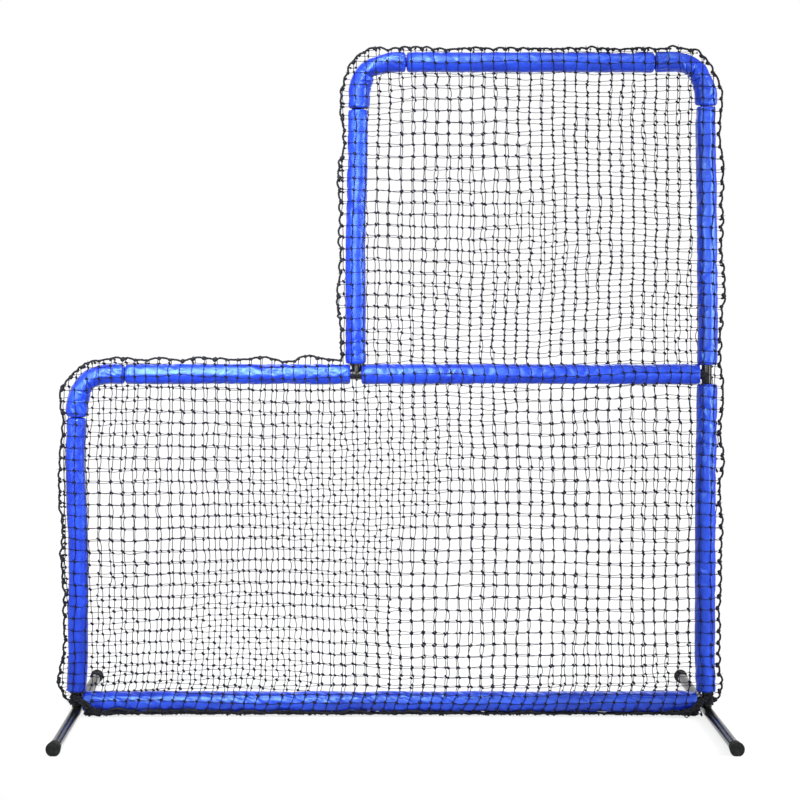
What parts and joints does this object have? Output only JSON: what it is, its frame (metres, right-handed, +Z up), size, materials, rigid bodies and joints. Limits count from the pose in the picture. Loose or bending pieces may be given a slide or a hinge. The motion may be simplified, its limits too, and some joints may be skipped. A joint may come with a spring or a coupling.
{
  "type": "baseball l screen",
  "caption": "Freestanding padded baseball L screen: steel tube frame with a throwing notch, knotted net in two layers, snap-button slip joints and capped cross legs.",
  "frame": {"origin": "on the ground in the frame's plane, midway between the axes of the left and right posts", "axes": "+X from the low side with the notch to the tall side, as seen from the front; +Y from the front to the rear, along the legs; +Z up"},
  "size_m": [2.4808, 1.2192, 2.5104],
  "materials": {
    "black_enamel": "gloss black baked enamel on steel tube",
    "blue_vinyl": "gloss coated vinyl cloth, royal blue",
    "grey_foam": "closed-cell foam, matte dark grey",
    "cap_rubber": "moulded rubber, matte dark grey",
    "net_twine": "black twisted knotted twine, matte",
    "border_twine": "black braided border rope, matte",
    "zinc_steel": "zinc plated spring steel"
  },
  "bodies": {
    "frame": {"elbow_top_left": "black_enamel", "elbow_top_right": "black_enamel", "elbow_low_left": "black_enamel", "tee_left": "black_enamel", "tee_right": "black_enamel", "top_rail": "black_enamel", "inner_post": "black_enamel", "right_post_upper": "black_enamel", "low_top_rail": "black_enamel", "crossbar": "black_enamel", "bottom_rail": "black_enamel", "left_post": "black_enamel", "right_post_lower": "black_enamel", "pad_cover_top_left": "blue_vinyl", "pad_foam_top_left": "grey_foam", "pad_cover_top_right": "blue_vinyl", "pad_foam_top_right": "grey_foam", "pad_cover_low_left": "blue_vinyl", "pad_foam_low_left": "grey_foam", "pad_cover_top_rail": "blue_vinyl", "pad_foam_top_rail": "grey_foam", "pad_cover_low_top_rail": "blue_vinyl", "pad_foam_low_top_rail": "grey_foam", "pad_cover_crossbar": "blue_vinyl", "pad_foam_crossbar": "grey_foam", "pad_cover_inner_post": "blue_vinyl", "pad_foam_inner_post": "grey_foam", "pad_cover_right_post_upper": "blue_vinyl", "pad_foam_right_post_upper": "grey_foam", "pad_cover_right_post_lower": "blue_vinyl", "pad_foam_right_post_lower": "grey_foam", "pad_cover_left_post": "blue_vinyl", "pad_foam_left_post": "grey_foam", "pad_cover_bottom_rail": "blue_vinyl", "pad_foam_bottom_rail": "grey_foam", "net_front_tall": "net_twine", "net_front_low": "net_twine", "net_rear_tall": "net_twine", "net_rear_low": "net_twine", "net_border_rope": "border_twine", "net_bottom_hem": "net_twine"},
    "left_leg": {"left_leg": "black_enamel", "left_leg_cap_front": "cap_rubber", "left_leg_cap_rear": "cap_rubber"},
    "right_leg": {"right_leg": "black_enamel", "right_leg_cap_front": "cap_rubber", "right_leg_cap_rear": "cap_rubber"},
    "snap_button_top_left_rail": {"snap_button_top_left_rail": "zinc_steel"},
    "snap_button_top_left_post": {"snap_button_top_left_post": "zinc_steel"},
    "snap_button_top_right_rail": {"snap_button_top_right_rail": "zinc_steel"},
    "snap_button_top_right_post": {"snap_button_top_right_post": "zinc_steel"},
    "snap_button_low_left_rail": {"snap_button_low_left_rail": "zinc_steel"},
    "snap_button_low_left_post": {"snap_button_low_left_post": "zinc_steel"},
    "snap_button_tee_left_rail": {"snap_button_tee_left_rail": "zinc_steel"},
    "snap_button_tee_left_crossbar": {"snap_button_tee_left_crossbar": "zinc_steel"},
    "snap_button_tee_left_post": {"snap_button_tee_left_post": "zinc_steel"},
    "snap_button_tee_right_crossbar": {"snap_button_tee_right_crossbar": "zinc_steel"},
    "snap_button_tee_right_upper": {"snap_button_tee_right_upper": "zinc_steel"},
    "snap_button_tee_right_lower": {"snap_button_tee_right_lower": "zinc_steel"}
  },
  "joints": [
    {"name": "leg_left_pull", "type": "slide", "parent": "frame", "child": "left_leg", "axis": [0, 0, -1], "range_m": [0, 0.15]},
    {"name": "leg_right_pull", "type": "slide", "parent": "frame", "child": "right_leg", "axis": [0, 0, -1], "range_m": [0, 0.15]},
    {"name": "snap_button_top_left_rail_press", "type": "slide", "parent": "frame", "child": "snap_button_top_left_rail", "axis": [0, -1, 0], "range_m": [0, 0.005], "stiffness_N_per_m": 2000, "springref_m": -0.002},
    {"name": "snap_button_top_left_post_press", "type": "slide", "parent": "frame", "child": "snap_button_top_left_post", "axis": [0, -1, 0], "range_m": [0, 0.005], "stiffness_N_per_m": 2000, "springref_m": -0.002},
    {"name": "snap_button_top_right_rail_press", "type": "slide", "parent": "frame", "child": "snap_button_top_right_rail", "axis": [0, -1, 0], "range_m": [0, 0.005], "stiffness_N_per_m": 2000, "springref_m": -0.002},
    {"name": "snap_button_top_right_post_press", "type": "slide", "parent": "frame", "child": "snap_button_top_right_post", "axis": [0, -1, 0], "range_m": [0, 0.005], "stiffness_N_per_m": 2000, "springref_m": -0.002},
    {"name": "snap_button_low_left_rail_press", "type": "slide", "parent": "frame", "child": "snap_button_low_left_rail", "axis": [0, -1, 0], "range_m": [0, 0.005], "stiffness_N_per_m": 2000, "springref_m": -0.002},
    {"name": "snap_button_low_left_post_press", "type": "slide", "parent": "frame", "child": "snap_button_low_left_post", "axis": [0, -1, 0], "range_m": [0, 0.005], "stiffness_N_per_m": 2000, "springref_m": -0.002},
    {"name": "snap_button_tee_left_rail_press", "type": "slide", "parent": "frame", "child": "snap_button_tee_left_rail", "axis": [0, -1, 0], "range_m": [0, 0.005], "stiffness_N_per_m": 2000, "springref_m": -0.002},
    {"name": "snap_button_tee_left_crossbar_press", "type": "slide", "parent": "frame", "child": "snap_button_tee_left_crossbar", "axis": [0, -1, 0], "range_m": [0, 0.005], "stiffness_N_per_m": 2000, "springref_m": -0.002},
    {"name": "snap_button_tee_left_post_press", "type": "slide", "parent": "frame", "child": "snap_button_tee_left_post", "axis": [0, -1, 0], "range_m": [0, 0.005], "stiffness_N_per_m": 2000, "springref_m": -0.002},
    {"name": "snap_button_tee_right_crossbar_press", "type": "slide", "parent": "frame", "child": "snap_button_tee_right_crossbar", "axis": [0, -1, 0], "range_m": [0, 0.005], "stiffness_N_per_m": 2000, "springref_m": -0.002},
    {"name": "snap_button_tee_right_upper_press", "type": "slide", "parent": "frame", "child": "snap_button_tee_right_upper", "axis": [0, -1, 0], "range_m": [0, 0.005], "stiffness_N_per_m": 2000, "springref_m": -0.002},
    {"name": "snap_button_tee_right_lower_press", "type": "slide", "parent": "frame", "child": "snap_button_tee_right_lower", "axis": [0, -1, 0], "range_m": [0, 0.005], "stiffness_N_per_m": 2000, "springref_m": -0.002}
  ]
}
